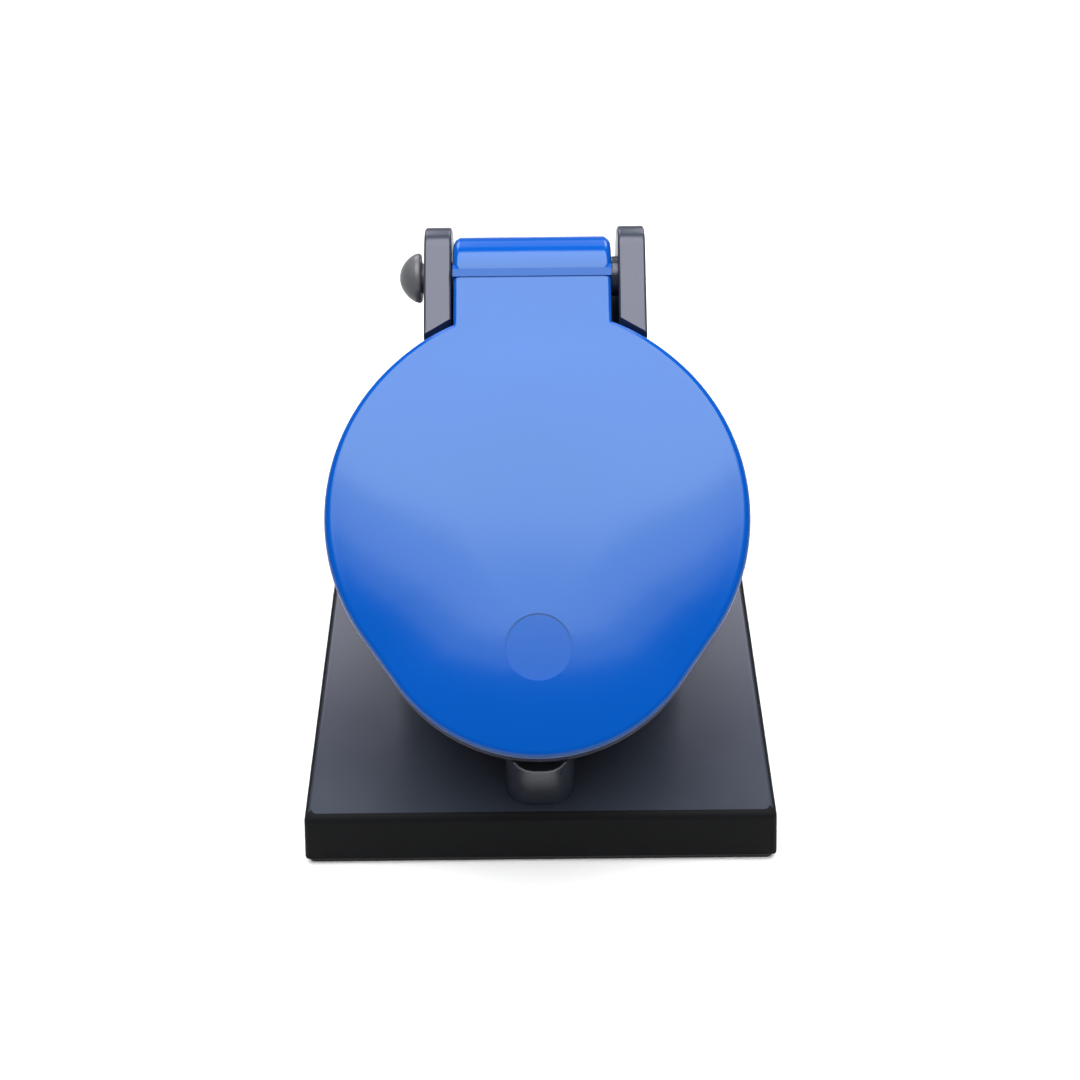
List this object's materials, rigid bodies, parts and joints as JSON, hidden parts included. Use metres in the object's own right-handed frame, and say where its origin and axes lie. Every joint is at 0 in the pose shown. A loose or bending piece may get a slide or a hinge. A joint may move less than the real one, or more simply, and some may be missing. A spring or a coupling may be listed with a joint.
{
  "type": "surface mount pin and sleeve socket",
  "caption": "Angled surface socket outlet with a tilted collar, sleeve contacts, a cable gland and a sprung egg-shaped blue lid that hinges upwards.",
  "frame": {"origin": "centre of the wall fixing holes on the back face of the back plate", "axes": "+Z out of the wall, -Y towards the lower end where the lid's tip is, +Y towards the hinge and cable entry, X across"},
  "size_m": [0.084, 0.1328, 0.087],
  "materials": {
    "grey_moulding": "moulded polyamide, slightly glossy",
    "blue_moulding": "glossy moulded polyamide",
    "pin_moulding": "moulded plastic",
    "black_moulding": "moulded plastic",
    "insert_moulding": "moulded thermoset",
    "gland_moulding": "moulded polyamide",
    "seal_rubber": "matt moulded rubber",
    "contact_brass": "turned brass",
    "spring_steel": "drawn wire and strip",
    "zinc_steel": "zinc plated"
  },
  "bodies": {
    "housing": {"back_plate": "black_moulding", "plate_gasket": "seal_rubber", "hood": "grey_moulding", "hood_screws": "zinc_steel", "contact_carrier": "insert_moulding", "carrier_screws": "zinc_steel", "contact_retainer": "black_moulding", "retainer_screw": "zinc_steel", "line_contact": "contact_brass", "neutral_contact": "contact_brass", "earth_contact": "contact_brass", "sleeve_springs": "spring_steel", "terminal_screws": "zinc_steel", "lid_spring": "spring_steel", "hinge_pin": "pin_moulding", "gland_body": "gland_moulding", "gland_seal": "seal_rubber", "gland_nut": "gland_moulding", "gland_locknut": "gland_moulding"},
    "lid": {"lid": "blue_moulding", "lid_gasket": "seal_rubber"}
  },
  "joints": [
    {"name": "lid_hinge", "type": "hinge", "parent": "housing", "child": "lid", "pos_m": [0, 0.01049, 0.07977], "axis": [-1, 0, 0], "range_deg": [0, 110], "stiffness_Nm_per_rad": 0.03, "springref_deg": -34.38, "deforming": ["lid_spring"]}
  ]
}
